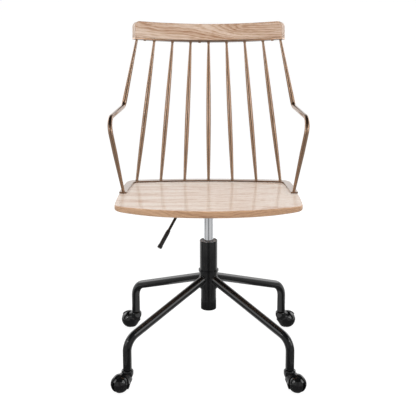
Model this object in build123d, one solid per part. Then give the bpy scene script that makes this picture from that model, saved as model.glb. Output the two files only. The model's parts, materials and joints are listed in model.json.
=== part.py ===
from build123d import *
import os
from math import atan2, cos, degrees, pi, radians, sin, sqrt, tan

# A spindle-back swivel chair: wooden saddle seat and crest rail, turned metal spindles and arm rods,
# a gas lift and a four-legged tube base on twin-wheel casters. Millimetres, +Z up, origin on the floor
# under the column. The chair faces -Y, so the sitter's left hand is at +X.

# Fits
running_clearance = 0.05
seat_clearance = 0.05
weld_gap = 0.1

# Casters
caster_wheel_od = 50.0
caster_trail = 29.0
caster_wheel_gap = 6.0
caster_tread_width = 2.5
caster_wheel_half_width = 24.5
caster_tread_round = 0.8
caster_dome_wall = 5.0
caster_hub_recess = 0.6
caster_rim = 7.0
caster_web_clearance = 0.7
caster_web_floor_gap = 9.0
caster_hood_gap = 1.2
caster_hood_wall = 1.8
caster_hood_width = 17.0
caster_hood_skirt = 4.0
caster_headroom = 11.5
caster_boss_wall = 11.0
caster_boss_draft = 4.5
caster_boss_height = 24.0
caster_boss_round = 4.0
caster_axle_od = 6.0
stem_od = 11.0
stem_reach = 22.0
stem_depth = 18.0
stem_chamfer = 1.5
stem_collar_lap = 2.0
stem_collar_height = 1.5
socket_flange = 1.5
socket_cap = 3.0

# Base: hub and four bent tube legs
leg_od = 24.0
leg_wall = 2.0
leg_stem_radius = 314.0
leg_slope = 19.4
leg_bend_radius = 46.0
leg_hub_drop = 18.4
hub_wall = 1.55
hub_lip = 2.0
hub_lip_height = 4.0
hub_top_z = 272.0
hub_height = 54.0

# Column tube of the gas lift, swaged down where it sits in the hub
column_od = 50.0
column_wall = 1.5
column_exposed = 87.0
column_tail = 65.0
column_swage = 3.0
column_floor_recess = 7.0
column_floor_thickness = 3.0
column_foot_round = 1.2
column_rim_round = 0.6
guide_bush_recess = 1.0
guide_bush_length = 72.0

# Piston rod, its bearing and its buffer
rod_od = 10.0
rod_collar_lap = 2.0
rod_collar_height = 4.0
rod_clip_width = 4.5
rod_clip_thickness = 1.5
rod_clip_groove_depth = 1.2
rod_clip_gap = 0.3
race_play = 3.0
race_gap = 1.5
race_thickness = 2.0
ball_od = 4.8
ball_count = 9
bump_stop_wall = 7.0
bump_stop_height = 24.0
piston_height = 12.0
piston_lift = 72.0

# Pressure tube: the polished part of the lift
lift_od = 28.0
lift_wall = 1.5
lift_insert = 89.0
lift_taper = 0.8
lift_taper_length = 26.0
lift_cap = 4.0
seal_height = 14.0
seal_inset = 0.5
valve_od = 8.0
valve_rise = 5.0
valve_dome = 2.5
valve_length = 22.0
valve_flange = 1.5
valve_flange_height = 4.0
valve_flange_gap = 0.3

# Seat panel, measured on its tilted top plane with the column axis at the middle
seat_tilt = 3.72
seat_z = 494.1
seat_thickness = 20.5
seat_ease_width = 145.0
seat_side_rise = 5.0
seat_front_y = -214.0
seat_corner_x = 255.0
seat_corner_y = -150.0
seat_side_x = 252.0
seat_side_y = 9.0
seat_rear_corner_x = 235.0
seat_rear_corner_y = 177.0
seat_rear_y = 197.0
seat_front_round = 36.0
seat_rear_round = 40.0
seat_top_round = 4.5
seat_bottom_round = 4.5
scoop_depth = 7.0
scoop_front_depth = 5.0
scoop_half_width = 212.0
scoop_rear_y = 158.0
scoop_shares_x = (-1.1, -0.8, -0.5, -0.3, -0.15, 0.0, 0.15, 0.3, 0.5, 0.8, 1.1)
scoop_shares_y = (-0.03, 0.13, 0.38, 0.67, 1.0)
pommel_height = 4.5
pommel_half_width = 62.0
pommel_fade_y = -40.0

# Swivel plate under the seat and the pan that hangs from it
plate_width = 190.0
plate_depth = 150.0
plate_thickness = 2.5
plate_corner = 12.0
plate_lip = 6.0
plate_screw_inset = 17.0
plate_screw_od = 5.0
plate_screw_head_od = 11.0
plate_screw_length = 14.0
pan_width = 116.0
pan_depth = 84.0
pan_height = 31.5
pan_wall = 2.0
pan_corner = 10.0
socket_wall = 4.0
socket_bare = 2.0
socket_grip = 23.0
socket_flange_lap = 6.0
socket_flange_thickness = 2.5

# Height lever
lever_drop = 6.8
lever_valve_gap = 0.45
lever_pivot_inset = 13.0
lever_rod_od = 8.0
lever_eye_wall = 2.7
lever_eye_width = 9.0
lever_inner_x = 4.0
lever_bend_reach = 14.0
lever_bend_radius = 13.0
lever_direction = (-1.0, -1.0, -1.64)
lever_reach = 142.0
lever_grip_length = 57.0
lever_grip_wall = 2.0
lever_grip_neck_wall = 1.25
lever_grip_tip_wall = 2.75
lever_grip_tip = 9.0
lever_grip_chamfer = 1.0
lever_slot_play = 1.75
lever_slot_travel = 2.75
lever_pin_od = 5.0
lever_pin_overhang = 5.0
lever_ear_thickness = 2.5
lever_ear_width = 12.0
lever_ear_gap = 0.5

# U-shaped flat bar on the seat that the rods are welded to
bar_width = 20.0
bar_thickness = 4.5
bar_inset = 0.8
bar_front_y = 9.0
bar_screw_od = 6.0
bar_screw_head_od = 10.5
bar_screw_head = 3.0
bar_screw_engagement = 3.2
bar_screw_clearance = 0.5
bar_screw_first = 36.0
bar_screw_step = 73.0

# Spindles: round rods that swell towards the middle
spindle_count = 7
spindle_arm_gap = 50.0
spindle_end_inset = 25.0
spindle_od_bottom = 8.2
spindle_od_middle = 14.0
spindle_od_top = 7.2
spindle_flare = 1.4
spindle_flare_height = 5.0

# Crest rail and the flat strip under it, on a plane that leans back
crest_lean = 18.0
crest_y = 311.0
crest_z = 872.0
crest_radius = 435.0
crest_half_chord = 212.0
crest_thickness = 22.0
crest_height = 48.7
crest_corner = 15.0
crest_edge_round = 2.2
strip_thickness = 4.0
strip_inset = 2.5
strip_overhang = 1.0
crest_screw_inset = 26.0
crest_screw_head_od = 9.0
crest_screw_head = 2.4
crest_screw_od = 4.0
crest_screw_length = 18.0

# Arm rods: one bent rod a side, tapered at both ends
arm_od = 14.0
arm_top_od = 7.6
arm_foot_od = 8.4
arm_top_inset = 3.0
arm_rear_corner = (247.0, 201.0, 703.0)
arm_front_corner = (279.5, 18.0, 703.0)
arm_foot_inset = 10.0
arm_rear_bend = 19.0
arm_front_bend = 42.0
arm_top_taper = 165.0
arm_foot_taper = 112.0

# Helper sizes: how far rods run on before they are trimmed, and a cutter larger than the chair
trim_reach = 6.0
big = 1500.0
low = (Align.CENTER, Align.CENTER, Align.MIN)
high = (Align.CENTER, Align.CENTER, Align.MAX)

seat_frame = Pos(0, 0, seat_z) * Rot(-seat_tilt, 0, 0)
crest_frame = Pos(0, crest_y, crest_z) * Rot(-crest_lean, 0, 0)

# Even spacing of the spindles between the arms and along the bar
arm_top_x = crest_half_chord - arm_top_inset
spindle_pitch_top = 2 * (arm_top_x - spindle_arm_gap) / (spindle_count - 1)
spindle_pitch_bottom = 2 * (seat_rear_corner_x - spindle_end_inset) / (spindle_count - 1)

# Heights of the base, from the floor up
axle_z = caster_wheel_od / 2
leg_end_z = caster_wheel_od + caster_headroom
socket_face_z = leg_end_z - socket_flange
caster_boss_top_z = socket_face_z - stem_collar_height
hub_bottom_z = hub_top_z - hub_height
column_foot_od = column_od - 2 * column_swage
hub_od = column_od + 2 * seat_clearance + 2 * hub_wall
leg_hub_z = hub_top_z - leg_hub_drop
leg_corner_z = leg_hub_z - tan(radians(leg_slope)) * leg_stem_radius
leg_angles = {"front_left": -45.0, "front_right": -135.0, "rear_right": 135.0, "rear_left": 45.0}

# Heights inside the gas lift, from the floor of the column up
column_top_z = hub_top_z + column_exposed
column_bottom_z = hub_bottom_z - column_tail
column_floor_z = column_bottom_z + column_floor_recess
bearing_z = column_floor_z + column_floor_thickness
race_top_z = bearing_z + race_thickness
upper_race_z = race_top_z + ball_od + 2 * running_clearance
collar_z = upper_race_z + race_thickness + seat_clearance
bump_stop_z = collar_z + rod_collar_height + seat_clearance
race_inner_od = rod_od + 2 * race_play
race_outer_od = column_foot_od - 2 * column_wall - 2 * race_gap
rod_collar_od = race_inner_od + 2 * rod_collar_lap
lift_bottom_z = column_top_z - lift_insert
piston_top_z = lift_bottom_z + piston_lift

# Heights under the seat, from the swivel plate down
seat_under = -seat_thickness
plate_under = seat_under - plate_thickness
plate_z = seat_z + plate_under / cos(radians(seat_tilt))
lever_pivot_x = lever_pivot_inset - pan_width / 2
lever_pivot_z = plate_z - lever_drop
pan_floor_z = plate_z - pan_height
valve_top_z = lever_pivot_z - lever_rod_od / 2 - lever_valve_gap
lift_top_z = valve_top_z - valve_rise
lift_taper_z = lift_top_z - lift_taper_length
lift_top_od = lift_od - 2 * lift_taper
socket_od = lift_od + 2 * socket_wall
socket_top_z = lift_top_z - socket_bare
socket_bottom_z = socket_top_z - socket_grip


def save(name, shape):
    """Writes one named piece."""
    export_step(shape, "parts/" + name + ".step")


def turned(points):
    """A solid of revolution about Z from (radius, height) points."""
    return revolve(Plane.XZ * make_face(Polyline(*points, close=True)), Axis.Z)


def ring(outer_od, inner_od, z_low, z_high):
    """A plain ring about Z."""
    height = z_high - z_low
    body = Cylinder(outer_od / 2, height, align=low) - Cylinder(inner_od / 2, height, align=low)
    return Pos(0, 0, z_low) * body


def dome(radius, z_edge, z_top):
    """Arc of a spherical cap, from its rim to its top on the axis."""
    rise = z_top - z_edge
    ball = (radius ** 2 + rise ** 2) / (2 * rise)
    half = atan2(radius, ball - rise) / 2
    middle = (ball * sin(half), z_top - ball + ball * cos(half))
    return ThreePointArc((radius, z_edge), middle, (0, z_top))


def above(frame, z):
    """Everything above a plane of a tilted frame, for trimming."""
    return frame * Pos(0, 0, z) * Box(big, big, big, align=low)


def below(frame, z):
    """Everything below a plane of a tilted frame, for trimming."""
    return frame * Pos(0, 0, z) * Box(big, big, big, align=high)


def make_column_tube():
    """Column tube, swaged in the hub, with a pierced floor near its foot."""
    outer = column_od / 2
    foot = column_foot_od / 2
    bore = outer - column_wall
    foot_bore = foot - column_wall
    return turned([
        (outer - column_rim_round, column_top_z),
        (outer, column_top_z - column_rim_round),
        (outer, hub_top_z),
        (foot, hub_bottom_z),
        (foot, column_bottom_z + column_foot_round),
        (foot - column_foot_round, column_bottom_z),
        (foot_bore, column_bottom_z),
        (foot_bore, column_floor_z),
        (rod_od / 2 + running_clearance, column_floor_z),
        (rod_od / 2 + running_clearance, bearing_z),
        (foot_bore, bearing_z),
        (foot_bore, hub_bottom_z),
        (bore, hub_top_z),
        (bore, column_top_z),
    ])


def make_hub():
    """Sleeve with a lip that the legs are welded to and the column sits in."""
    lip_z = hub_top_z - hub_lip_height
    return turned([
        (hub_od / 2, hub_bottom_z),
        (hub_od / 2, lip_z),
        (hub_od / 2 + hub_lip, lip_z),
        (hub_od / 2 + hub_lip, hub_top_z),
        (column_od / 2 + seat_clearance, hub_top_z),
        (column_foot_od / 2 + seat_clearance, hub_bottom_z),
    ])


def make_piston_rod():
    """Rod with a collar on the bearing and a clip groove under the column floor."""
    radius = rod_od / 2
    groove_top = column_floor_z - rod_clip_gap
    groove_bottom = groove_top - rod_clip_thickness - 2 * seat_clearance
    tail_z = groove_bottom - rod_clip_thickness - seat_clearance
    return turned([
        (0, tail_z),
        (radius, tail_z),
        (radius, groove_bottom),
        (radius - rod_clip_groove_depth, groove_bottom),
        (radius - rod_clip_groove_depth, groove_top),
        (radius, groove_top),
        (radius, collar_z),
        (rod_collar_od / 2, collar_z),
        (rod_collar_od / 2, collar_z + rod_collar_height),
        (radius, collar_z + rod_collar_height),
        (radius, piston_top_z),
        (0, piston_top_z),
    ])


def make_rod_clip():
    """Open spring clip in the rod's groove."""
    top = column_floor_z - rod_clip_gap - seat_clearance
    groove_od = rod_od - 2 * rod_clip_groove_depth + 2 * seat_clearance
    slot_width = groove_od
    clip_od = rod_od + 2 * rod_clip_width
    whole = ring(clip_od, groove_od, top - rod_clip_thickness, top)
    slot = Pos(0, -clip_od / 2, top) * Box(slot_width, clip_od, 4 * rod_clip_thickness)
    return whole - slot


def make_thrust_balls():
    """Ball set between the two races."""
    ball_z = race_top_z + running_clearance + ball_od / 2
    ball_circle = (race_inner_od + race_outer_od) / 2
    spots = PolarLocations(ball_circle / 2, ball_count)
    return Compound(children=[Pos(0, 0, ball_z) * spot * Sphere(ball_od / 2) for spot in spots])


def lift_radius(z):
    """Outer radius of the pressure tube, which tapers at its top."""
    share = max(0.0, (z - lift_taper_z) / (lift_top_z - lift_taper_z))
    return (lift_od + (lift_top_od - lift_od) * share) / 2


def make_pressure_tube():
    """Polished tube with a tapered, capped top and an open foot."""
    bore = lift_od / 2 - lift_wall
    valve_bore = valve_od / 2 + running_clearance
    return turned([
        (lift_od / 2, lift_bottom_z),
        (lift_od / 2, lift_taper_z),
        (lift_top_od / 2, lift_top_z),
        (valve_bore, lift_top_z),
        (valve_bore, lift_top_z - lift_cap),
        (bore - lift_wall, lift_top_z - lift_cap),
        (bore - lift_wall, lift_taper_z),
        (bore, lift_taper_z - lift_wall),
        (bore, lift_bottom_z),
    ])


def make_valve_pin():
    """Release pin with a domed head and a flange that keeps it in the tube."""
    flange_top = lift_top_z - lift_cap - valve_flange_gap
    flange_bottom = flange_top - valve_flange_height
    radius = valve_od / 2
    shoulder = valve_top_z - valve_dome
    flange = radius + valve_flange
    outline = [
        Line((0, valve_top_z - valve_length), (radius, valve_top_z - valve_length)),
        Line((radius, valve_top_z - valve_length), (radius, flange_bottom)),
        Line((radius, flange_bottom), (flange, flange_bottom)),
        Line((flange, flange_bottom), (flange, flange_top)),
        Line((flange, flange_top), (radius, flange_top)),
        Line((radius, flange_top), (radius, shoulder)),
        dome(radius, shoulder, valve_top_z),
        Line((0, valve_top_z), (0, valve_top_z - valve_length)),
    ]
    return revolve(Plane.XZ * make_face(Curve() + outline), Axis.Z)


def make_leg(angle):
    """Bent tube from the hub, down and then straight to the caster."""
    path = FilletPolyline(
        (0, 0, leg_hub_z),
        (leg_stem_radius, 0, leg_corner_z),
        (leg_stem_radius, 0, leg_end_z),
        radius=leg_bend_radius,
    )
    section = Plane(origin=path @ 0, z_dir=path % 0) * (Circle(leg_od / 2) - Circle(leg_od / 2 - leg_wall))
    tube = sweep(section, path=path)
    coped = tube - Cylinder(hub_od / 2 + weld_gap, 2 * big)
    outward = max(coped.solids(), key=lambda solid: solid.volume)
    return Rot(0, 0, angle) * outward


def make_caster_sockets():
    """Grip sockets in the open ends of the legs."""
    shell = ring(leg_od, stem_od + 2 * running_clearance, socket_face_z, leg_end_z)
    plug_od = leg_od - 2 * leg_wall - 2 * seat_clearance
    plug = Pos(0, 0, leg_end_z) * Cylinder(plug_od / 2, stem_reach + socket_cap, align=low)
    bore = Pos(0, 0, leg_end_z) * Cylinder(stem_od / 2 + running_clearance, stem_reach, align=low)
    socket = shell + (plug - bore)
    places = [Rot(0, 0, angle) * Pos(leg_stem_radius, 0, 0) for angle in leg_angles.values()]
    return Compound(children=[place * socket for place in places])


def about_axle(shape):
    """Turns a shape made about Z so that Z becomes the caster's axle line."""
    return Pos(caster_trail, 0, axle_z) * Rot(-90, 0, 0) * shape


axle_length = 2 * (caster_wheel_half_width - caster_dome_wall)


def make_caster_wheel(side):
    """One half of a ball-shaped twin wheel; its dome hides the axle's end."""
    radius = caster_wheel_od / 2
    inner = caster_wheel_gap / 2
    tread_end = inner + caster_tread_width
    round_off = caster_tread_round
    bore_end = axle_length / 2 + running_clearance
    recess = radius - caster_rim
    rim_start = inner + caster_hub_recess
    bore = caster_axle_od / 2 + running_clearance
    outline = [
        Line((bore, inner), (recess, inner)),
        Line((recess, inner), (recess, rim_start)),
        Line((recess, rim_start), (radius - round_off, rim_start)),
        Line((radius - round_off, rim_start), (radius, rim_start + round_off)),
        Line((radius, rim_start + round_off), (radius, tread_end)),
        dome(radius, tread_end, caster_wheel_half_width),
        Line((0, caster_wheel_half_width), (0, bore_end)),
        Line((0, bore_end), (bore, bore_end)),
        Line((bore, bore_end), (bore, inner)),
    ]
    wheel = revolve(Plane.XZ * make_face(Curve() + outline), Axis.Z)
    return about_axle(wheel if side > 0 else Rot(180, 0, 0) * wheel)


def make_caster_hood():
    """Swivel boss, web between the wheels and a rounded fender over them."""
    inner = caster_wheel_od / 2 + caster_hood_gap
    outer = inner + caster_hood_wall
    web_width = caster_wheel_gap - 2 * caster_web_clearance
    boss_radius = stem_od / 2 + caster_boss_wall
    boss_low = caster_boss_top_z - caster_boss_height
    boss = turned([
        (0, boss_low),
        (boss_radius - caster_boss_draft, boss_low),
        (boss_radius, boss_low + caster_boss_height / 2),
        (boss_radius, caster_boss_top_z - caster_boss_round),
        (boss_radius - caster_boss_round, caster_boss_top_z),
        (0, caster_boss_top_z),
    ])
    skirt = Pos(caster_trail, 0, axle_z - caster_hood_skirt) * Box(big, big, big, align=high)
    floor_room = Pos(caster_trail, 0, caster_web_floor_gap) * Box(big, big, big, align=high)
    fender = about_axle(Cylinder(2 * outer, caster_hood_width)) - skirt
    web = about_axle(Cylinder(2 * outer, web_width)) - floor_room
    wheel_room = about_axle(Sphere(inner) - Cylinder(2 * inner, web_width))
    hood = ((fender + web) & about_axle(Sphere(outer))) + boss - wheel_room
    stem_bore = Pos(0, 0, caster_boss_top_z) * Cylinder(stem_od / 2 + seat_clearance, stem_depth, align=high)
    axle_bore = about_axle(Cylinder(caster_axle_od / 2 + seat_clearance, big))
    return hood - stem_bore - axle_bore


def make_caster_stem():
    """Stem that turns in the leg's socket, with a collar under the leg."""
    radius = stem_od / 2
    collar = radius + stem_collar_lap
    foot_z = caster_boss_top_z - stem_depth + seat_clearance
    collar_low = caster_boss_top_z + seat_clearance
    collar_high = socket_face_z - running_clearance
    top_z = leg_end_z + stem_reach - stem_chamfer
    return turned([
        (0, foot_z),
        (radius, foot_z),
        (radius, collar_low),
        (collar, collar_low),
        (collar, collar_high),
        (radius, collar_high),
        (radius, top_z - stem_chamfer),
        (radius - stem_chamfer, top_z),
        (0, top_z),
    ])


plate_screw_x = plate_width / 2 - plate_screw_inset
plate_screw_y = plate_depth / 2 - plate_screw_inset


def make_mech_plate():
    """Pressed plate under the seat with turned-down lips at its sides."""
    outline = fillet(Rectangle(plate_width, plate_depth).vertices(), plate_corner)
    plate = extrude(outline, -plate_thickness)
    for side in (-1, 1):
        lip = Box(plate_thickness, plate_depth - 2 * plate_corner, plate_thickness + plate_lip, align=high)
        plate = plate + Pos(side * (plate_width - plate_thickness) / 2, 0, 0) * lip
    hole = Cylinder(plate_screw_od / 2 + seat_clearance, 4 * plate_thickness)
    for place in GridLocations(2 * plate_screw_x, 2 * plate_screw_y, 2, 2):
        plate = plate - place * hole
    return seat_frame * Pos(0, 0, seat_under) * plate


def make_mech_housing():
    """Open pan welded under the plate; it carries the tube socket and the lever's pin."""
    outer = extrude(fillet(Rectangle(pan_width, pan_depth).vertices(), pan_corner), seat_z - pan_floor_z)
    inner_outline = Rectangle(pan_width - 2 * pan_wall, pan_depth - 2 * pan_wall)
    inner = extrude(fillet(inner_outline.vertices(), pan_corner - pan_wall), seat_z)
    pan = outer - Pos(0, 0, pan_wall) * inner
    pan = pan - Cylinder(socket_od / 2 + seat_clearance, 4 * pan_wall)
    pan = Pos(0, 0, pan_floor_z) * pan
    ear_spread = lever_eye_width + lever_ear_thickness + 2 * lever_ear_gap
    ear_height = lever_pivot_z + lever_pin_od - pan_floor_z - pan_wall
    for side in (-1, 1):
        ear = Box(lever_ear_width, lever_ear_thickness, ear_height, align=low)
        pan = pan + Pos(lever_pivot_x, side * ear_spread / 2, pan_floor_z + pan_wall) * ear
    pin_hole = Rot(90, 0, 0) * Cylinder(lever_pin_od / 2 + seat_clearance, 2 * ear_spread)
    pan = pan - Pos(lever_pivot_x, 0, lever_pivot_z) * pin_hole
    slot = Box(4 * pan_wall, lever_rod_od + 2 * lever_slot_play, lever_rod_od + 2 * lever_slot_travel)
    pan = pan - Pos(-pan_width / 2, 0, lever_pivot_z) * slot
    return pan - above(seat_frame, plate_under)


def make_taper_socket():
    """Conical socket that the pressure tube's top is pressed into."""
    floor_top = pan_floor_z + pan_wall
    radius = socket_od / 2
    flange = radius + socket_flange_lap
    return turned([
        (lift_radius(socket_bottom_z) + seat_clearance, socket_bottom_z),
        (radius, socket_bottom_z),
        (radius, floor_top),
        (flange, floor_top),
        (flange, floor_top + socket_flange_thickness),
        (radius, floor_top + socket_flange_thickness),
        (radius, socket_top_z),
        (lift_radius(socket_top_z) + seat_clearance, socket_top_z),
    ])


lever_unit = Vector(*lever_direction).normalized()
lever_corner = Vector(-pan_width / 2 - lever_bend_reach, 0, lever_pivot_z)
lever_end = lever_corner + lever_unit * lever_reach
grip_start = lever_end - lever_unit * lever_grip_length


def make_lever_rod():
    """Bent steel rod with a pivot eye; its inner end lies over the release pin."""
    path = FilletPolyline(
        (lever_inner_x, 0, lever_pivot_z),
        lever_corner,
        lever_end - lever_unit * lever_grip_tip,
        radius=lever_bend_radius,
    )
    rod = sweep(Plane(origin=path @ 0, z_dir=path % 0) * Circle(lever_rod_od / 2), path=path)
    pivot = Pos(lever_pivot_x, 0, lever_pivot_z) * Rot(90, 0, 0)
    eye = pivot * Cylinder(lever_pin_od / 2 + lever_eye_wall, lever_eye_width)
    bore = pivot * Cylinder(lever_pin_od / 2 + running_clearance, big)
    return rod + eye - bore


def make_lever_grip():
    """Moulded grip with a slim neck and a thicker tip."""
    rod = lever_rod_od / 2
    neck = rod + lever_grip_neck_wall
    body = rod + lever_grip_wall
    tip = rod + lever_grip_tip_wall
    hole = rod + seat_clearance
    length = lever_grip_length
    shape = turned([
        (hole, 0),
        (neck, 0),
        (body, lever_grip_tip),
        (body, length - lever_grip_tip),
        (tip, length - lever_grip_tip),
        (tip, length - lever_grip_chamfer),
        (tip - lever_grip_chamfer, length),
        (0, length),
        (0, length - lever_grip_tip + seat_clearance),
        (hole, length - lever_grip_tip + seat_clearance),
    ])
    return Plane(origin=grip_start, z_dir=lever_unit) * shape


def make_lever_pin():
    """Pivot pin across the pan's ears."""
    reach = lever_ear_gap + lever_ear_thickness + lever_pin_overhang
    pin = Cylinder(lever_pin_od / 2, lever_eye_width + 2 * reach)
    return Pos(lever_pivot_x, 0, lever_pivot_z) * Rot(90, 0, 0) * pin


# Seat panel and the bar on it
front_left = (seat_corner_x, seat_corner_y)
front_right = (-seat_corner_x, seat_corner_y)
rear_left = (seat_rear_corner_x, seat_rear_corner_y)
rear_right = (-seat_rear_corner_x, seat_rear_corner_y)


def seat_outline(inset):
    """Plan of the seat, bowed on every side, drawn in by an even margin."""
    edges = [
        ThreePointArc(front_right, (0, seat_front_y), front_left),
        ThreePointArc(front_left, (seat_side_x, seat_side_y), rear_left),
        ThreePointArc(rear_left, (0, seat_rear_y), rear_right),
        ThreePointArc(rear_right, (-seat_side_x, seat_side_y), front_right),
    ]
    plan = make_face(Curve() + edges)
    if inset > 0:
        plan = offset(plan, -inset, kind=Kind.INTERSECTION)
    plan = fillet(plan.vertices().sort_by(Axis.Y)[:2], seat_front_round - inset)
    return fillet(plan.vertices().sort_by(Axis.Y)[-2:], seat_rear_round - inset)


def scoop_height(x, y):
    """Height of the carved top: dished in the middle, with a low pommel at the front."""
    share = (y - seat_front_y) / (scoop_rear_y - seat_front_y)
    bowl = scoop_front_depth + (scoop_depth - scoop_front_depth) * sin(pi * min(share, 1.0))
    bowl = bowl * max(0.0, 1 - max(0.0, share) ** 4)
    across = 1 - (x / scoop_half_width) ** 2
    fade = max(0.0, min(1.0, (pommel_fade_y - y) / (pommel_fade_y - seat_front_y)))
    pommel = pommel_height * fade * max(0.0, cos(pi * x / (2 * pommel_half_width))) ** 2
    if abs(x) > pommel_half_width:
        pommel = 0.0
    return pommel - bowl * across


def make_scoop():
    """Cutter for the saddle, lofted from front to back."""
    roof = 3 * seat_thickness
    sections = []
    for share in scoop_shares_y:
        y = seat_front_y + share * (scoop_rear_y - seat_front_y)
        widths = [step * scoop_half_width for step in scoop_shares_x]
        points = [(x, scoop_height(x, y)) for x in widths]
        curve = Spline(*points)
        frame_lines = Polyline(points[-1], (points[-1][0], roof), (points[0][0], roof), points[0])
        sections.append(Pos(0, y, 0) * Plane.XZ * make_face(curve + frame_lines))
    return loft(sections)


def circle_through(first, middle, last):
    """Centre and radius of the circle through three plan points."""
    chord = Vector(*last) - Vector(*first)
    half = (Vector(*first) + Vector(*last)) * 0.5
    side = Vector(-chord.Y, chord.X).normalized()
    lift = Vector(*middle) - half
    along = (lift.dot(lift) - chord.dot(chord) / 4) / (2 * lift.dot(side))
    centre = half + side * along
    return centre, (Vector(*first) - centre).length


rear_centre, rear_radius = circle_through(rear_left, (0, seat_rear_y), rear_right)
side_centre, side_radius = circle_through(front_left, (seat_side_x, seat_side_y), rear_left)
bar_middle = bar_inset + bar_width / 2


def bar_line_y(x):
    """Depth of the rear strip's middle line at a given width."""
    return rear_centre.Y + sqrt((rear_radius - bar_middle) ** 2 - x ** 2)


def bar_line_x(y):
    """Half width of the side strips' middle line at a given depth."""
    return side_centre.X + sqrt((side_radius - bar_middle) ** 2 - (y - side_centre.Y) ** 2)


bar_screw_rear_x = (spindle_pitch_bottom / 2, spindle_pitch_bottom * 5 / 2)
bar_screw_side_y = (bar_front_y + bar_screw_first, bar_front_y + bar_screw_first + bar_screw_step)
bar_screw_places = [(side * x, bar_line_y(x)) for x in bar_screw_rear_x for side in (-1, 1)]
bar_screw_places += [(side * bar_line_x(y), y) for y in bar_screw_side_y for side in (-1, 1)]
plate_screw_places = [(sx * plate_screw_x, sy * plate_screw_y) for sx in (-1, 1) for sy in (-1, 1)]
seat_flat_half_width = seat_corner_x - seat_ease_width
ease_radius = (seat_ease_width ** 2 + seat_side_rise ** 2) / (2 * seat_side_rise)


def underside(x):
    """Height of the seat's underside: flat in the middle, eased up towards the sides."""
    run = max(0.0, abs(x) - seat_flat_half_width)
    return seat_under + ease_radius - sqrt(ease_radius ** 2 - run ** 2)


def bar_screw_bearing(x):
    """Height of the flat that a bar screw's head bears on."""
    return underside(abs(x) + bar_screw_head_od / 2)


def make_side_relief():
    """Cutter that eases the underside up towards the left side."""
    block = Box(2 * seat_ease_width, big, seat_ease_width, align=(Align.MIN, Align.CENTER, Align.CENTER))
    barrel = Pos(0, 0, ease_radius) * Rot(90, 0, 0) * Cylinder(ease_radius, 2 * big)
    return Pos(seat_flat_half_width, 0, seat_under) * (block - barrel)


def make_seat_panel():
    """Solid wood panel with rounded edges, an eased underside, a carved saddle and screw holes."""
    relief = make_side_relief()
    panel = extrude(seat_outline(0), -seat_thickness) - relief - mirror(relief, about=Plane.YZ)
    panel = fillet(panel.faces().sort_by(Axis.Z)[-1].edges(), seat_top_round)
    curved_edges = panel.edges().filter_by(GeomType.LINE, reverse=True)
    rim = curved_edges.filter_by(lambda edge: edge.center().Z < seat_under / 2)
    panel = fillet(rim, seat_bottom_round)
    panel = panel - make_scoop()
    hole = Cylinder(bar_screw_od / 2 + seat_clearance, 4 * seat_thickness)
    spot_face = Cylinder(bar_screw_head_od / 2 + bar_screw_clearance, seat_thickness, align=high)
    for x, y in bar_screw_places:
        panel = panel - Pos(x, y, 0) * hole - Pos(x, y, bar_screw_bearing(x)) * spot_face
    pilot = Cylinder(plate_screw_od / 2 + seat_clearance, plate_screw_length + seat_clearance, align=low)
    for x, y in plate_screw_places:
        panel = panel - Pos(x, y, seat_under) * pilot
    return seat_frame * panel


def make_seat_bar():
    """Flat bar bent in a U round the back of the seat, with blind holes for its screws."""
    bar = extrude(seat_outline(bar_inset) - seat_outline(bar_inset + bar_width), bar_thickness)
    bar = bar - Pos(0, bar_front_y, 0) * Box(big, big, big, align=(Align.CENTER, Align.MAX, Align.CENTER))
    for x, y in bar_screw_places:
        depth = bar_screw_engagement + seat_clearance
        bar = bar - Pos(x, y, 0) * Cylinder(bar_screw_od / 2 + seat_clearance, depth, align=low)
    return seat_frame * bar


def make_screw(head_od, head, od, length):
    """Pan-head screw pointing up from its bearing face at Z = 0."""
    return turned([
        (0, -head),
        (head_od / 2 - head / 2, -head),
        (head_od / 2, -head / 2),
        (head_od / 2, 0),
        (od / 2, 0),
        (od / 2, length),
        (0, length),
    ])


def make_bar_screws():
    """Screws up through the seat into the bar."""
    screws = []
    for x, y in bar_screw_places:
        bearing = bar_screw_bearing(x)
        screw = make_screw(bar_screw_head_od, bar_screw_head, bar_screw_od, bar_screw_engagement - bearing)
        screws.append(seat_frame * Pos(x, y, bearing) * screw)
    return Compound(children=screws)


def make_plate_screws():
    """Wood screws that hold the swivel plate to the seat."""
    length = plate_thickness + plate_screw_length
    screw = make_screw(plate_screw_head_od, bar_screw_head, plate_screw_od, length)
    frame = seat_frame * Pos(0, 0, plate_under)
    return Compound(children=[frame * Pos(x, y, 0) * screw for x, y in plate_screw_places])


# Back: crest, strip, spindles and arms
strip_radius = crest_radius + crest_thickness / 2
strip_width = crest_thickness - 2 * strip_inset
crest_half_angle = degrees(atan2(crest_half_chord, sqrt(crest_radius ** 2 - crest_half_chord ** 2)))
crest_screw_end = crest_half_chord - crest_screw_inset
crest_screw_x = (-crest_screw_end, -spindle_pitch_top / 2, crest_screw_end)


def crest_line_y(x):
    """Depth of the strip's middle line on the crest plane."""
    return sqrt(strip_radius ** 2 - x ** 2) - strip_radius


def arc_band(inner, outer, half_angle, height):
    """Upright band bent to an arc, bulging backwards, with radial ends."""
    low_angle = 90 - half_angle
    middle = 90.0
    high_angle = 90 + half_angle

    def spot(radius, angle):
        return (radius * cos(radians(angle)), radius * sin(radians(angle)) - strip_radius)

    outline = [
        ThreePointArc(spot(outer, low_angle), spot(outer, middle), spot(outer, high_angle)),
        Line(spot(outer, high_angle), spot(inner, high_angle)),
        ThreePointArc(spot(inner, high_angle), spot(inner, middle), spot(inner, low_angle)),
        Line(spot(inner, low_angle), spot(outer, low_angle)),
    ]
    return extrude(make_face(Curve() + outline), height)


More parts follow.
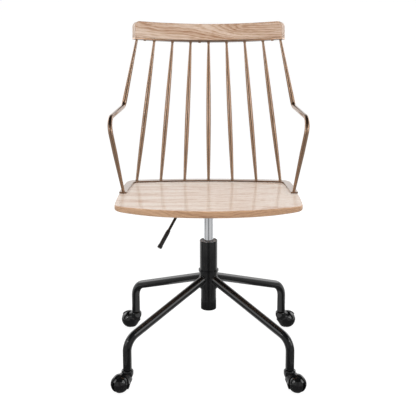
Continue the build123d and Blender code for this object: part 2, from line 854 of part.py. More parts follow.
def make_crest_rail():
    """Bent wooden rail with rounded top corners and eased edges."""
    rail = arc_band(crest_radius, crest_radius + crest_thickness, crest_half_angle, crest_height)
    short_edges = rail.edges().filter_by(lambda edge: edge.length < 2 * crest_thickness)
    top_ends = short_edges.filter_by(lambda edge: edge.center().Z > crest_height / 2)
    rail = fillet(top_ends, crest_corner)
    broad_faces = rail.faces().filter_by(GeomType.CYLINDER).sort_by(SortBy.AREA)[-2:]
    rail = fillet(broad_faces[0].edges() + broad_faces[1].edges(), crest_edge_round)
    depth = crest_screw_length - strip_thickness + seat_clearance
    hole = Cylinder(crest_screw_od / 2 + seat_clearance, depth, align=low)
    for x in crest_screw_x:
        rail = rail - Pos(x, crest_line_y(x), 0) * hole
    return crest_frame * Pos(0, 0, strip_thickness) * rail


def make_crest_strip():
    """Flat strip bent to the crest's arc, with screw holes."""
    half_angle = crest_half_angle + degrees(strip_overhang / strip_radius)
    inner = strip_radius - strip_width / 2
    strip = arc_band(inner, inner + strip_width, half_angle, strip_thickness)
    hole = Cylinder(crest_screw_od / 2 + seat_clearance, 4 * strip_thickness)
    for x in crest_screw_x:
        strip = strip - Pos(x, crest_line_y(x), 0) * hole
    return crest_frame * strip


def make_crest_screws():
    """Screws up through the strip into the crest."""
    screw = make_screw(crest_screw_head_od, crest_screw_head, crest_screw_od, crest_screw_length)
    return Compound(children=[crest_frame * Pos(x, crest_line_y(x), 0) * screw for x in crest_screw_x])


def trimmed(shape):
    """Cuts a rod off on the bar's top and under the strip."""
    return shape - below(seat_frame, bar_thickness) - above(crest_frame, 0)


def make_spindle(place):
    """Rod that swells in the middle, with a weld flare under the strip."""
    x_low = place * spindle_pitch_bottom
    x_high = place * spindle_pitch_top
    foot = (seat_frame * Pos(x_low, bar_line_y(x_low), bar_thickness)).position
    head = (crest_frame * Pos(x_high, crest_line_y(x_high), 0)).position
    length = (head - foot).length
    waist = length - spindle_flare_height
    bottom = spindle_od_bottom / 2
    top = spindle_od_top / 2
    flare = top + spindle_flare
    outline = [
        Line((0, -trim_reach), (bottom, -trim_reach)),
        Line((bottom, -trim_reach), (bottom, 0)),
        ThreePointArc((bottom, 0), (spindle_od_middle / 2, waist / 2), (top, waist)),
        Line((top, waist), (flare, length)),
        Line((flare, length), (flare, length + trim_reach)),
        Line((flare, length + trim_reach), (0, length + trim_reach)),
        Line((0, length + trim_reach), (0, -trim_reach)),
    ]
    rod = revolve(Plane.XZ * make_face(Curve() + outline), Axis.Z)
    return trimmed(Plane(origin=foot, z_dir=head - foot) * rod)


def make_arm_rod(side):
    """Rod from the strip's end down to the arm, forward, and down to the bar's front end."""
    head = (crest_frame * Pos(side * arm_top_x, crest_line_y(arm_top_x), 0)).position
    foot_y = bar_front_y + arm_foot_inset
    foot = (seat_frame * Pos(side * bar_line_x(foot_y), foot_y, bar_thickness)).position
    rear = Vector(side * arm_rear_corner[0], arm_rear_corner[1], arm_rear_corner[2])
    front = Vector(side * arm_front_corner[0], arm_front_corner[1], arm_front_corner[2])
    up = (head - rear).normalized()
    down = (foot - front).normalized()
    taper_top = head - up * arm_top_taper
    taper_foot = foot - down * arm_foot_taper
    path = FilletPolyline(taper_top, rear, front, taper_foot, radius=[arm_rear_bend, arm_front_bend])
    middle = sweep(Plane(origin=path @ 0, z_dir=path % 0) * Circle(arm_od / 2), path=path)

    def taper(start, axis, length, end_od):
        small = Plane(origin=start + axis * length, z_dir=axis) * Circle(end_od / 2)
        beyond = Plane(origin=start + axis * (length + trim_reach), z_dir=axis) * Circle(end_od / 2)
        cone = loft([Plane(origin=start, z_dir=axis) * Circle(arm_od / 2), small])
        return cone + loft([small, beyond])

    rod = middle + taper(taper_top, up, arm_top_taper, arm_top_od)
    rod = rod + taper(taper_foot, down, arm_foot_taper, arm_foot_od)
    return trimmed(rod)


os.makedirs("parts", exist_ok=True)

save("hub_sleeve", make_hub())
save("column_tube", make_column_tube())
save("guide_bush", ring(
    column_od - 2 * column_wall - 2 * seat_clearance,
    lift_od + 2 * running_clearance,
    column_top_z - guide_bush_recess - guide_bush_length,
    column_top_z - guide_bush_recess,
))
save("thrust_race_lower", ring(race_outer_od, race_inner_od, bearing_z, race_top_z))
save("caster_sockets", make_caster_sockets())
for leg_name, leg_angle in leg_angles.items():
    save("leg_" + leg_name, make_leg(leg_angle))

save("piston_rod", make_piston_rod())
save("piston", ring(
    lift_od - 2 * lift_wall - 2 * running_clearance,
    rod_od + 2 * seat_clearance,
    piston_top_z - piston_height,
    piston_top_z,
))
save("thrust_race_upper", ring(race_outer_od, race_inner_od, upper_race_z, upper_race_z + race_thickness))
save("thrust_balls", make_thrust_balls())
save("bump_stop", ring(
    rod_od + 2 * bump_stop_wall,
    rod_od + 2 * seat_clearance,
    bump_stop_z,
    bump_stop_z + bump_stop_height,
))
save("rod_clip", make_rod_clip())

save("pressure_tube", make_pressure_tube())
save("rod_guide_seal", ring(
    lift_od - 2 * lift_wall - 2 * seat_clearance,
    rod_od + 2 * running_clearance,
    lift_bottom_z + seal_inset,
    lift_bottom_z + seal_inset + seal_height,
))
save("valve_pin", make_valve_pin())
save("mech_plate", make_mech_plate())
save("mech_housing", make_mech_housing())
save("taper_socket", make_taper_socket())
save("lever_pin", make_lever_pin())
save("lever_rod", make_lever_rod())
save("lever_grip", make_lever_grip())
save("plate_screws", make_plate_screws())

save("seat_panel", make_seat_panel())
save("seat_bar", make_seat_bar())
save("bar_screws", make_bar_screws())
for number in range(spindle_count):
    save("spindle_" + str(number + 1), make_spindle(number - (spindle_count - 1) / 2))
save("arm_rod_left", make_arm_rod(1))
save("arm_rod_right", make_arm_rod(-1))
save("crest_strip", make_crest_strip())
save("crest_rail", make_crest_rail())
save("crest_screws", make_crest_screws())

hood = make_caster_hood()
stem = make_caster_stem()
axle = about_axle(Cylinder(caster_axle_od / 2, axle_length))
wheels = {"left": make_caster_wheel(1), "right": make_caster_wheel(-1)}
for leg_name, leg_angle in leg_angles.items():
    place = Rot(0, 0, leg_angle) * Pos(leg_stem_radius, 0, 0)
    save("caster_" + leg_name + "_hood", place * hood)
    save("caster_" + leg_name + "_stem", place * stem)
    save("caster_" + leg_name + "_axle", place * axle)
    for wheel_name, wheel in wheels.items():
        save("caster_" + leg_name + "_wheel_" + wheel_name, place * wheel)
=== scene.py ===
"""Looks of a spindle-back swivel chair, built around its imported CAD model.

Metres, +Z up, the chair faces -Y, the sitter's left is +X.
"""
import json
from math import atan2, cos, pi, radians, sin, sqrt

import bmesh
import bpy
from mathutils import Matrix, Vector


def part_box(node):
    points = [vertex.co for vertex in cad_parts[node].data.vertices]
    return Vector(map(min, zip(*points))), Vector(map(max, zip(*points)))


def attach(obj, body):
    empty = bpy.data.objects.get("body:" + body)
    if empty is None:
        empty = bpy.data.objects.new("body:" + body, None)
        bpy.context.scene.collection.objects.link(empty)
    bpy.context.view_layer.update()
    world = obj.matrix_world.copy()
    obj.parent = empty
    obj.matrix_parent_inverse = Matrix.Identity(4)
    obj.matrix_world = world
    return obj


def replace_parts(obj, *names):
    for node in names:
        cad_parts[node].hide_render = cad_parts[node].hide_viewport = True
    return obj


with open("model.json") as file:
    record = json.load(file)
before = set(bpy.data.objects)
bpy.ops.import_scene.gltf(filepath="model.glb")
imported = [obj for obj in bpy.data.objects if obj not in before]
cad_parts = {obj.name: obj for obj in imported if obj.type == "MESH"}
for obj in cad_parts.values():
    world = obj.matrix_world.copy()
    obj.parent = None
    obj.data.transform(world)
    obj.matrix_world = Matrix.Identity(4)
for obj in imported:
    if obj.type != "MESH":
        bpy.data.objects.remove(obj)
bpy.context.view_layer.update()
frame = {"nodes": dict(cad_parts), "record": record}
nodes = frame["nodes"]
scene = bpy.context.scene
scene.view_settings.view_transform = "Standard"

# Camera, fitted to the photograph's own frame: pixels, then metres, degrees and millimetres
frame_pixels = 416
focal_pixels = 1305.5
camera_place = (-0.0016, -3.523, 1.4974)
camera_pitch = 16.504
sensor_width = 36.0

camera_data = bpy.data.cameras.new("camera")
camera_data.sensor_width = sensor_width
camera_data.lens = sensor_width * focal_pixels / frame_pixels
camera = bpy.data.objects.new("camera", camera_data)
camera.location = camera_place
camera.rotation_euler = (radians(90 - camera_pitch), 0, 0)
scene.collection.objects.link(camera)
scene.camera = camera


# Material building
class Graph:
    """Short names for the nodes of one material."""

    def __init__(self, name):
        self.material = bpy.data.materials.new(name)
        self.material.use_nodes = True
        self.tree = self.material.node_tree
        self.tree.nodes.clear()
        self.surface = self.node("ShaderNodeBsdfPrincipled")
        output = self.node("ShaderNodeOutputMaterial")
        self.link(self.surface.outputs[0], output.inputs["Surface"])

    def node(self, kind, **settings):
        made = self.tree.nodes.new(kind)
        for key, value in settings.items():
            setattr(made, key, value)
        return made

    def link(self, source, target):
        self.tree.links.new(source, target)

    def put(self, socket, value):
        """Links a socket, or sets a plain value on it."""
        if isinstance(value, bpy.types.NodeSocket):
            self.link(value, socket)
        elif hasattr(value, "__len__") and len(value) == 3 and len(socket.default_value) == 4:
            socket.default_value = (*value, 1.0)
        else:
            socket.default_value = value

    def shade(self, **values):
        """Sets the surface shader's sockets, by their names with underscores."""
        for key, value in values.items():
            self.put(self.surface.inputs[key.replace("_", " ")], value)

    def math(self, operation, first, second=0.0):
        made = self.node("ShaderNodeMath", operation=operation)
        self.put(made.inputs[0], first)
        self.put(made.inputs[1], second)
        return made.outputs[0]

    def swing(self, noise, reach):
        """A noise value as a shift to either side, reach from end to end."""
        return self.math("MULTIPLY", self.math("SUBTRACT", noise, 0.5), reach)

    def distance(self, first, second):
        """How far a point lies from an axis, from its two distances across the axis."""
        squares = self.math("ADD", self.math("POWER", first, 2.0), self.math("POWER", second, 2.0))
        return self.math("SQRT", squares)

    def place(self):
        """The point on the piece, in the piece's own frame."""
        return self.node("ShaderNodeTexCoord").outputs["Object"]

    def facing(self):
        """The surface normal, in the piece's own frame."""
        return self.node("ShaderNodeTexCoord").outputs["Normal"]

    def within(self, vector, origin=(0, 0, 0), turn=(0, 0, 0), size=(1, 1, 1)):
        """A point seen from a frame at an origin, turned, with each axis measured in units of size."""
        made = self.node("ShaderNodeMapping", vector_type="TEXTURE")
        self.put(made.inputs["Vector"], vector)
        made.inputs["Location"].default_value = origin
        made.inputs["Rotation"].default_value = turn
        made.inputs["Scale"].default_value = size
        return made.outputs[0]

    def split(self, vector):
        made = self.node("ShaderNodeSeparateXYZ")
        self.put(made.inputs[0], vector)
        return made.outputs[0], made.outputs[1], made.outputs[2]

    def join(self, x, y, z):
        made = self.node("ShaderNodeCombineXYZ")
        for socket, value in zip(made.inputs, (x, y, z)):
            self.put(socket, value)
        return made.outputs[0]

    def noise(self, vector, scale, detail=2.0, roughness=0.5):
        made = self.node("ShaderNodeTexNoise")
        self.put(made.inputs["Vector"], vector)
        made.inputs["Scale"].default_value = scale
        made.inputs["Detail"].default_value = detail
        made.inputs["Roughness"].default_value = roughness
        return made.outputs[0]

    def ramp(self, factor, *stops):
        """A colour ramp from (place, colour) stops; a plain number is a grey."""
        made = self.node("ShaderNodeValToRGB")
        self.put(made.inputs[0], factor)
        elements = made.color_ramp.elements
        while len(elements) < len(stops):
            elements.new(0.5)
        for element, (position, colour) in zip(elements, stops):
            element.position = position
            if isinstance(colour, float):
                colour = (colour, colour, colour)
            element.color = (*colour, 1)
        return made.outputs[0]

    def mix(self, factor, first, second, blend="MIX"):
        made = self.node("ShaderNodeMix", data_type="RGBA", blend_type=blend)
        self.put(made.inputs[0], factor)
        self.put(made.inputs[6], first)
        self.put(made.inputs[7], second)
        return made.outputs[2]

    def span(self, value, low, high, new_low, new_high, curve="LINEAR"):
        """A value moved from one range to another, kept inside it."""
        made = self.node("ShaderNodeMapRange", interpolation_type=curve)
        for socket, number in zip(made.inputs, (value, low, high, new_low, new_high)):
            self.put(socket, number)
        return made.outputs[0]

    def bump(self, height, strength, distance, socket="Normal"):
        made = self.node("ShaderNodeBump")
        made.inputs["Strength"].default_value = strength
        made.inputs["Distance"].default_value = distance
        self.put(made.inputs["Height"], height)
        self.link(made.outputs[0], self.surface.inputs[socket])


# Wood: growth rings round a slanted pith, fibres along the first direction, and pores
seat_origin = (0, 0, 0.4941)
seat_turn = (radians(-3.72), 0, 0)
stave_width = 0.086
stave_start = 0.3
seat_ring = 0.0058
# Painted light and shade: a pale copy of the wood for the top and a darker, warmer copy for the edges
seat_top_painted_light_tones = ((0.0, (0.58, 0.37, 0.25)), (0.5, (0.82, 0.7, 0.61)), (1.0, (0.91, 0.845, 0.785)))
seat_edge_painted_shade_tones = ((0.0, (0.39, 0.21, 0.115)), (0.5, (0.59, 0.36, 0.21)), (1.0, (0.69, 0.445, 0.275)))
fleck_tone = (0.6, 0.36, 0.22)
stave_tint = (0.82, 0.76, 0.7)

crest_origin = (0, 0.311, 0.872)
crest_turn = (radians(-18), 0, 0)
crest_bend = 0.446
crest_front = 0.435
crest_ring = 0.0055
crest_tones = ((0.0, (0.31, 0.145, 0.06)), (0.5, (0.535, 0.37, 0.262)), (1.0, (0.72, 0.59, 0.49)))
# Painted shade: a darker tone for the crest's faces that turn up
crest_top_painted_shade = (0.74, 0.7, 0.66)

fibre_tint = (0.78, 0.62, 0.5)
pore_tint = (0.66, 0.45, 0.31)


def year_noise(graph, radius, along, radius_scale, along_scale):
    """Noise that changes from ring to ring, and slowly along them."""
    by_radius = graph.math("MULTIPLY", radius, radius_scale)
    by_length = graph.math("MULTIPLY", along, along_scale)
    return graph.noise(graph.join(by_radius, by_length, 0.0), 1.0, 1.0)


def grain(graph, along, across, depth, ring_size):
    """Ring tone, fibre tone and pore tone of wood whose fibres run along the first direction."""
    wander_reach = 0.018
    ripple_reach = 0.006
    uneven_reach = 1.6 * ring_size
    place = graph.join(along, across, depth)
    wander = graph.noise(graph.within(place, size=(0.2, 0.0625, 1.0)), 1.0, 2.0)
    ripple = graph.noise(graph.within(place, size=(0.045, 0.0067, 1.0)), 1.0, 3.0)
    radius = graph.distance(across, depth)
    radius = graph.math("ADD", radius, graph.swing(wander, wander_reach))
    radius = graph.math("ADD", radius, graph.swing(ripple, ripple_reach))
    uneven = year_noise(graph, radius, along, 70.0, 2.0)
    radius = graph.math("ADD", radius, graph.swing(uneven, uneven_reach))
    rings = graph.math("FRACT", graph.math("ADD", graph.math("DIVIDE", radius, ring_size), 0.5))
    early = graph.ramp(rings, (0.0, 0.1), (0.2, 0.3), (0.5, 0.85), (0.85, 0.9), (1.0, 0.2))
    year = year_noise(graph, radius, along, 55.0, 3.0)
    ring_tone = graph.math("ADD", graph.math("MULTIPLY", early, 0.5), graph.span(year, 0.3, 0.7, 0.0, 0.5))
    streaks = graph.noise(graph.within(place, size=(0.028, 0.0032, 0.0032)), 1.0, 3.0, 0.65)
    ring_tone = graph.math("ADD", ring_tone, graph.span(streaks, 0.3, 0.7, -0.2, 0.2))
    fibre_tone = graph.noise(graph.within(place, size=(0.05, 0.0012, 0.0012)), 1.0, 3.0, 0.6)
    pore_noise = graph.noise(graph.within(place, size=(0.016, 0.0007, 0.0007)), 1.0, 1.0)
    pore_tone = graph.span(pore_noise, 0.28, 0.4, 0.0, 1.0)
    return ring_tone, fibre_tone, pore_tone


def finish_wood(graph, colour, rings, fibres, pores, roughness, lacquer):
    """Fibre streaks, pores and bump on a wood's colour, under a clear, slightly wavy lacquer."""
    roughness_spread = 0.12
    colour = graph.mix(graph.span(fibres, 0.3, 0.7, 0.0, 0.4), colour, fibre_tint, "MULTIPLY")
    open_pores = graph.math("SUBTRACT", 1.0, pores)
    pore_mask = graph.math("MULTIPLY", open_pores, graph.span(rings, 0.2, 0.8, 1.0, 0.25))
    colour = graph.mix(graph.math("MULTIPLY", pore_mask, 0.4), colour, pore_tint, "MULTIPLY")
    graph.bump(graph.math("ADD", graph.math("MULTIPLY", pores, 0.6), fibres), 0.25, 0.0003)
    graph.shade(
        Base_Color=colour,
        Roughness=graph.span(fibres, 0.2, 0.8, roughness, roughness + roughness_spread),
        Specular_IOR_Level=0.5,
        Coat_Weight=lacquer,
        Coat_Roughness=0.1,
    )
    waves = graph.noise(graph.place(), 42.0, 1.0)
    graph.bump(waves, 0.35, 0.0012, "Coat Normal")


def make_crest_wood():
    """Bent rail: the rings follow the bend and open in arches towards the sitter's left."""
    arch_start = 0.17
    arch_end = -0.08
    pith_near = 0.001
    pith_far = 0.036
    pith_top = 0.046
    pith_fall = 0.04
    graph = Graph("crest_wood")
    x, y, z = graph.split(graph.within(graph.place(), crest_origin, crest_turn))
    behind = graph.math("ADD", y, crest_bend)
    depth = graph.math("SUBTRACT", graph.distance(x, behind), crest_front)
    along = graph.math("MULTIPLY", graph.math("ARCTAN2", x, behind), crest_bend)
    pith_shift = graph.span(along, arch_start, arch_end, pith_near, pith_far, "SMOOTHSTEP")
    pith_level = graph.math("SUBTRACT", pith_top, graph.math("MULTIPLY", along, pith_fall))
    pith_depth = graph.math("ADD", depth, pith_shift)
    pith_height = graph.math("SUBTRACT", z, pith_level)
    rings, fibres, pores = grain(graph, along, pith_height, pith_depth, crest_ring)
    colour = graph.ramp(rings, *crest_tones)
    # Painted shade: faces turned up are darkened
    up = graph.split(graph.facing())[2]
    colour = graph.mix(graph.span(up, 0.55, 0.95, 0.0, 1.0), colour, crest_top_painted_shade, "MULTIPLY")
    finish_wood(graph, colour, rings, fibres, pores, roughness=0.42, lacquer=0.2)
    return graph.material


def make_seat_wood():
    """Staves glued side by side, with painted light making the top pale and painted shade making the edges
    darker and warmer.
    """
    stave_seed = 3.7
    pith_spread = 1.6
    sideways_share = 0.03
    pith_slope = 0.045
    pith_drop = 0.045
    graph = Graph("seat_wood")
    x, y, z = graph.split(graph.within(graph.place(), seat_origin, seat_turn))
    stave = graph.math("FLOOR", graph.math("DIVIDE", graph.math("ADD", y, stave_start), stave_width))
    stave_middle = graph.math("MULTIPLY", graph.math("ADD", stave, 0.5), stave_width)
    stave_middle = graph.math("SUBTRACT", stave_middle, stave_start)
    tone = graph.noise(graph.join(graph.math("MULTIPLY", stave, stave_seed), 0.0, 0.0), 1.0, 0.0)
    shift = graph.swing(tone, pith_spread)
    sideways = graph.math("MULTIPLY", shift, sideways_share)
    across = graph.math("ADD", graph.math("SUBTRACT", y, stave_middle), sideways)
    slant = graph.math("MULTIPLY", graph.math("SUBTRACT", x, shift), pith_slope)
    depth = graph.math("ADD", graph.math("ADD", z, pith_drop), slant)
    rings, fibres, pores = grain(graph, x, across, depth, seat_ring)
    # Painted light and shade: lit and shaded copies of one wood, chosen below by which way a face turns
    top = graph.ramp(rings, *seat_top_painted_light_tones)
    edge = graph.ramp(rings, *seat_edge_painted_shade_tones)
    flecks = graph.within(graph.join(x, y, z), size=(0.014, 0.0045, 0.0045))
    flecks = graph.noise(flecks, 1.0, 4.0, 0.7)
    top = graph.mix(graph.span(flecks, 0.5, 0.68, 0.0, 0.4), top, fleck_tone)
    up = graph.split(graph.facing())[2]
    colour = graph.mix(graph.span(up, 0.7, 0.97, 0.0, 1.0), edge, top)
    colour = graph.mix(graph.span(tone, 0.3, 0.7, 0.0, 0.15), colour, stave_tint, "MULTIPLY")
    finish_wood(graph, colour, rings, fibres, pores, roughness=0.55, lacquer=0.38)
    return graph.material


# Metals
copper_tones = ((0.3, (0.285, 0.16, 0.087)), (0.55, (0.315, 0.18, 0.1)), (0.75, (0.35, 0.204, 0.115)))
copper_speck = (0.2, 0.12, 0.075)
# Painted contact shade: the dark colour of copper that lies within a few millimetres of the seat top
copper_painted_contact_shade = (0.06, 0.028, 0.016)
# Painted shade: the dark, dull colour of copper faces that turn down
copper_painted_underside_shade = (0.1, 0.045, 0.025)


def make_copper():
    """Antique copper plating under clear lacquer, with painted contact shade where the rods meet the seat,
    and painted shade, dull and not metal, on the faces that turn down.
    """
    graph = Graph("copper_finish")
    place = graph.place()
    cloud = graph.noise(place, 14.0, 3.0)
    speck = graph.noise(place, 420.0, 2.0)
    colour = graph.ramp(cloud, *copper_tones)
    colour = graph.mix(graph.span(speck, 0.62, 0.72, 0.0, 0.1), colour, copper_speck)
    # Painted contact shade: copper close to the seat top is darkened, standing in for the shadow there
    over_seat = graph.split(graph.within(place, seat_origin, seat_turn))[2]
    painted_shade_near_seat = graph.span(over_seat, 0.001, 0.0043, 0.85, 0.0)
    colour = graph.mix(painted_shade_near_seat, colour, copper_painted_contact_shade)
    # Painted shade: faces turned down lose their metal and lacquer and take a dark brown
    open_side = graph.span(graph.split(graph.facing())[2], -0.9, -0.6, 0.0, 1.0)
    graph.shade(
        Base_Color=graph.mix(open_side, copper_painted_underside_shade, colour),
        Metallic=open_side,
        Roughness=graph.span(cloud, 0.3, 0.7, 0.29, 0.34),
        Coat_Weight=open_side,
        Coat_Roughness=0.06,
        Coat_IOR=1.65,
    )
    return graph.material


def make_chrome():
    """Hard chrome with faint turning marks round the tube."""
    round_scale = 30.0
    mark_scale = 6000.0
    graph = Graph("chrome")
    x, y, z = graph.split(graph.place())
    marks = graph.join(
        graph.math("MULTIPLY", x, round_scale),
        graph.math("MULTIPLY", y, round_scale),
        graph.math("MULTIPLY", z, mark_scale),
    )
    lines = graph.noise(marks, 1.0, 2.0)
    cloud = graph.noise(graph.place(), 40.0, 2.0)
    graph.bump(lines, 0.02, 0.0001)
    graph.shade(
        Base_Color=graph.ramp(cloud, (0.3, (0.8, 0.815, 0.84)), (0.7, (0.87, 0.88, 0.9))),
        Metallic=1.0,
        Roughness=graph.span(lines, 0.3, 0.7, 0.08, 0.16),
    )
    return graph.material


def make_steel():
    """Zinc-plated steel of pins, balls and screws."""
    graph = Graph("bright_steel")
    cloud = graph.noise(graph.place(), 90.0, 3.0)
    graph.bump(graph.noise(graph.place(), 900.0, 2.0), 0.05, 0.0001)
    graph.shade(
        Base_Color=graph.ramp(cloud, (0.3, (0.46, 0.47, 0.5)), (0.7, (0.6, 0.6, 0.6))),
        Metallic=1.0,
        Roughness=graph.span(cloud, 0.3, 0.7, 0.25, 0.4),
    )
    return graph.material


# Black paint and plastics
def make_black_paint():
    """Gloss black powder coat with its slight orange peel and a little dust."""
    graph = Graph("black_steel")
    place = graph.place()
    peel = graph.noise(place, 650.0, 2.0)
    dust = graph.noise(place, 55.0, 4.0)
    graph.bump(peel, 0.05, 0.0003)
    graph.shade(
        Base_Color=graph.ramp(dust, (0.35, (0.004, 0.004, 0.0043)), (0.7, (0.0065, 0.0065, 0.007))),
        Roughness=graph.span(dust, 0.3, 0.7, 0.09, 0.13),
        Specular_IOR_Level=0.5,
    )
    return graph.material


def make_plastic(name, dark, light, roughness, grit, depth, shine):
    """Moulded plastic or rubber with a fine skin."""
    graph = Graph(name)
    place = graph.place()
    skin = graph.noise(place, grit, 3.0)
    cloud = graph.noise(place, 60.0, 3.0)
    graph.bump(skin, depth, 0.0003)
    graph.shade(
        Base_Color=graph.ramp(cloud, (0.35, dark), (0.7, light)),
        Roughness=graph.span(cloud, 0.3, 0.7, *roughness),
        Specular_IOR_Level=shine,
    )
    return graph.material


materials = {
    "seat_wood": make_seat_wood(),
    "crest_wood": make_crest_wood(),
    "copper_finish": make_copper(),
    "chrome": make_chrome(),
    "bright_steel": make_steel(),
    "black_steel": make_black_paint(),
}
plastics = (
    ("gloss_black", (0.003, 0.003, 0.0032), (0.005, 0.005, 0.0053), (0.05, 0.08), 700.0, 0.02, 0.65),
    ("black_plastic", (0.009, 0.009, 0.0095), (0.015, 0.015, 0.016), (0.3, 0.4), 1800.0, 0.12, 0.5),
    ("grey_plastic", (0.2, 0.2, 0.21), (0.27, 0.27, 0.28), (0.4, 0.5), 1200.0, 0.08, 0.5),
    ("rubber", (0.018, 0.018, 0.018), (0.03, 0.03, 0.03), (0.6, 0.75), 1500.0, 0.15, 0.5),
)
for plastic in plastics:
    materials[plastic[0]] = make_plastic(*plastic)
for row in frame["record"]["subparts"]:
    mesh = nodes[row["node"]].data
    mesh.materials.clear()
    mesh.materials.append(materials[row["material_slot"]])


# Pieces that the solids leave out or have plainer: screws with recesses, weld beads and caster hoods
seat_frame = Matrix.Translation(seat_origin) @ Matrix.Rotation(seat_turn[0], 4, "X")
crest_frame = Matrix.Translation(crest_origin) @ Matrix.Rotation(crest_turn[0], 4, "X")
legs = ("front_left", "front_right", "rear_left", "rear_right")
sharp_angle = radians(38)

# Screws: points on a ring, room round one screw, then rows in shares of the head's radius and height
screw_steps = 48
screw_room = 0.02
tip_ease = 0.001
head_rows = ((1.0, 0.0), (1.0, 0.15), (0.97, 0.55), (0.86, 0.85), (0.7, 0.97))
recess_rows = ((1.04, 0.0), (1.0, 0.06), (0.8, 0.6), (0.05, 0.64))

# Weld beads
bead_steps = 72
bead_sides = 10
bead_ripple = 0.12
leg_bead = 0.0022
leg_ripples = 22
seat_rod_bead = 0.001
crest_rod_bead = 0.0008
rod_ripples = 12
same_level = 0.0002

# Caster hoods: the radius that the wheels need, and the shell's outer one
hood_room = 0.0263
hood_radius = 0.028
hood_steps = 48


def add_piece(name, bm, body, slot_name):
    """Puts a mesh in the scene as a piece that rides on a body."""
    bmesh.ops.recalc_face_normals(bm, faces=bm.faces)
    mesh = bpy.data.meshes.new(name)
    bm.to_mesh(mesh)
    bm.free()
    mesh.shade_smooth()
    mesh.set_sharp_from_angle(angle=sharp_angle)
    mesh.materials.append(materials[slot_name])
    piece = bpy.data.objects.new(name, mesh)
    scene.collection.objects.link(piece)
    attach(piece, body)
    return piece


def cross_radius(angle, reach, half_width):
    """Radius of a plus-shaped recess at an angle."""
    turn = angle % (pi / 2)
    turn = min(turn, pi / 2 - turn)
    if sin(turn) * reach <= half_width * cos(turn):
        return reach / cos(turn)
    return half_width / sin(turn)


def hexagon_radius(angle, reach, half_width):
    """Radius of a six-sided socket at an angle; the half width isn't used."""
    turn = angle % (pi / 3) - pi / 6
    return reach / cos(turn)


def find_screws(node, local):
    """The points of each screw of a node, in a tilted frame."""
    back = local.inverted()
    screws = []
    for vertex in nodes[node].data.vertices:
        spot = back @ vertex.co
        near = next((s for s in screws if (s[0].xy - spot.xy).length < screw_room), None)
        if near is None:
            screws.append([spot])
        else:
            near.append(spot)
    return screws


def add_screw(bm, local, spots, head, shank, recess, reach, half_width):
    """A pan-head screw with a recess in the head, where the plain one is."""
    head_radius, head_height = head
    middle_x = (min(s.x for s in spots) + max(s.x for s in spots)) / 2
    middle_y = (min(s.y for s in spots) + max(s.y for s in spots)) / 2
    low = min(s.z for s in spots)
    high = max(s.z for s in spots)
    bearing = low + head_height
    angles = [2 * pi * i / screw_steps for i in range(screw_steps)]
    shank_rows = ((0.3 * shank, high), (0.8 * shank, high), (shank, high - tip_ease), (shank, bearing))
    rings = [([radius] * screw_steps, z) for radius, z in shank_rows]
    for share, drop in head_rows:
        rings.append(([share * head_radius] * screw_steps, bearing - drop * head_height))
    edge = [recess(angle, reach, half_width) for angle in angles]
    for share, lift in recess_rows:
        rings.append(([share * r for r in edge], low + lift * head_height))
    loops = []
    for radii, z in rings:
        loop = [(middle_x + r * cos(a), middle_y + r * sin(a), z) for r, a in zip(radii, angles)]
        loops.append([bm.verts.new(local @ Vector(spot)) for spot in loop])
    for first, second in zip(loops, loops[1:]):
        for i in range(screw_steps):
            j = (i + 1) % screw_steps
            bm.faces.new((first[i], first[j], second[j], second[i]))
    bm.faces.new(loops[0])
    bm.faces.new(loops[-1])


def add_bead(bm, line, axis, radius, ripples):
    """A rippled weld bead along a closed line."""
    loops = []
    for i, spot in enumerate(line):
        run = (line[(i + 1) % len(line)] - line[i - 1]).normalized()
        side = run.cross(axis).normalized()
        rise = run.cross(side)
        size = radius * (1 + bead_ripple * sin(2 * pi * ripples * i / len(line)))
        turns = [2 * pi * k / bead_sides for k in range(bead_sides)]
        loops.append([bm.verts.new(spot + size * (cos(t) * side + sin(t) * rise)) for t in turns])
    for i, first in enumerate(loops):
        second = loops[(i + 1) % len(loops)]
        for k in range(bead_sides):
            n = (k + 1) % bead_sides
            bm.faces.new((first[k], first[n], second[n], second[k]))


def leg_weld(bm, bearing):
    """The bead where a sloping leg meets the hub."""
    leg_radius = 0.012
    hub_radius = 0.0266
    meeting_height = 0.2536
    slope = radians(19.4)
    outward = Vector((cos(bearing), sin(bearing), 0))
    sideways = Vector((-sin(bearing), cos(bearing), 0))
    line = []
    for i in range(bead_steps):
        turn = 2 * pi * i / bead_steps
        width = leg_radius * cos(turn)
        reach = sqrt(hub_radius ** 2 - width ** 2)
        along = (reach - leg_radius * sin(turn) * sin(slope)) / cos(slope)
        height = meeting_height - along * sin(slope) + leg_radius * sin(turn) * cos(slope)
        line.append(outward * reach + sideways * width + Vector((0, 0, height)))
    add_bead(bm, line, outward * cos(slope) - Vector((0, 0, sin(slope))), leg_bead, leg_ripples)


def rod_weld(bm, node, local, end, radius):
    """The bead round the end face of a rod; end picks the lower or the upper one."""
    back = local.inverted()
    spots = [back @ vertex.co for vertex in nodes[node].data.vertices]
    level = end(s.z for s in spots)
    face = [s for s in spots if abs(s.z - level) < same_level]
    low_x = min(s.x for s in face)
    high_x = max(s.x for s in face)
    low_y = min(s.y for s in face)
    high_y = max(s.y for s in face)
    line = []
    for i in range(bead_steps):
        turn = 2 * pi * i / bead_steps
        x = (low_x + high_x) / 2 + (high_x - low_x) / 2 * cos(turn)
        y = (low_y + high_y) / 2 + (high_y - low_y) / 2 * sin(turn)
        line.append(local @ Vector((x, y, level)))
    add_bead(bm, line, local.to_3x3() @ Vector((0, 0, 1)), radius, rod_ripples)


def add_sheet(bm, place, rows):
    """Faces over closed rows of points, with the first and the last row capped."""
    loops = [[bm.verts.new(place @ Vector(spot)) for spot in row] for row in rows]
    count = len(loops[0])
    for first, second in zip(loops, loops[1:]):
        for k in range(count):
            n = (k + 1) % count
            bm.faces.new((first[k], first[n], second[n], second[k]))
    bm.faces.new(loops[0])
    bm.faces.new(loops[-1])


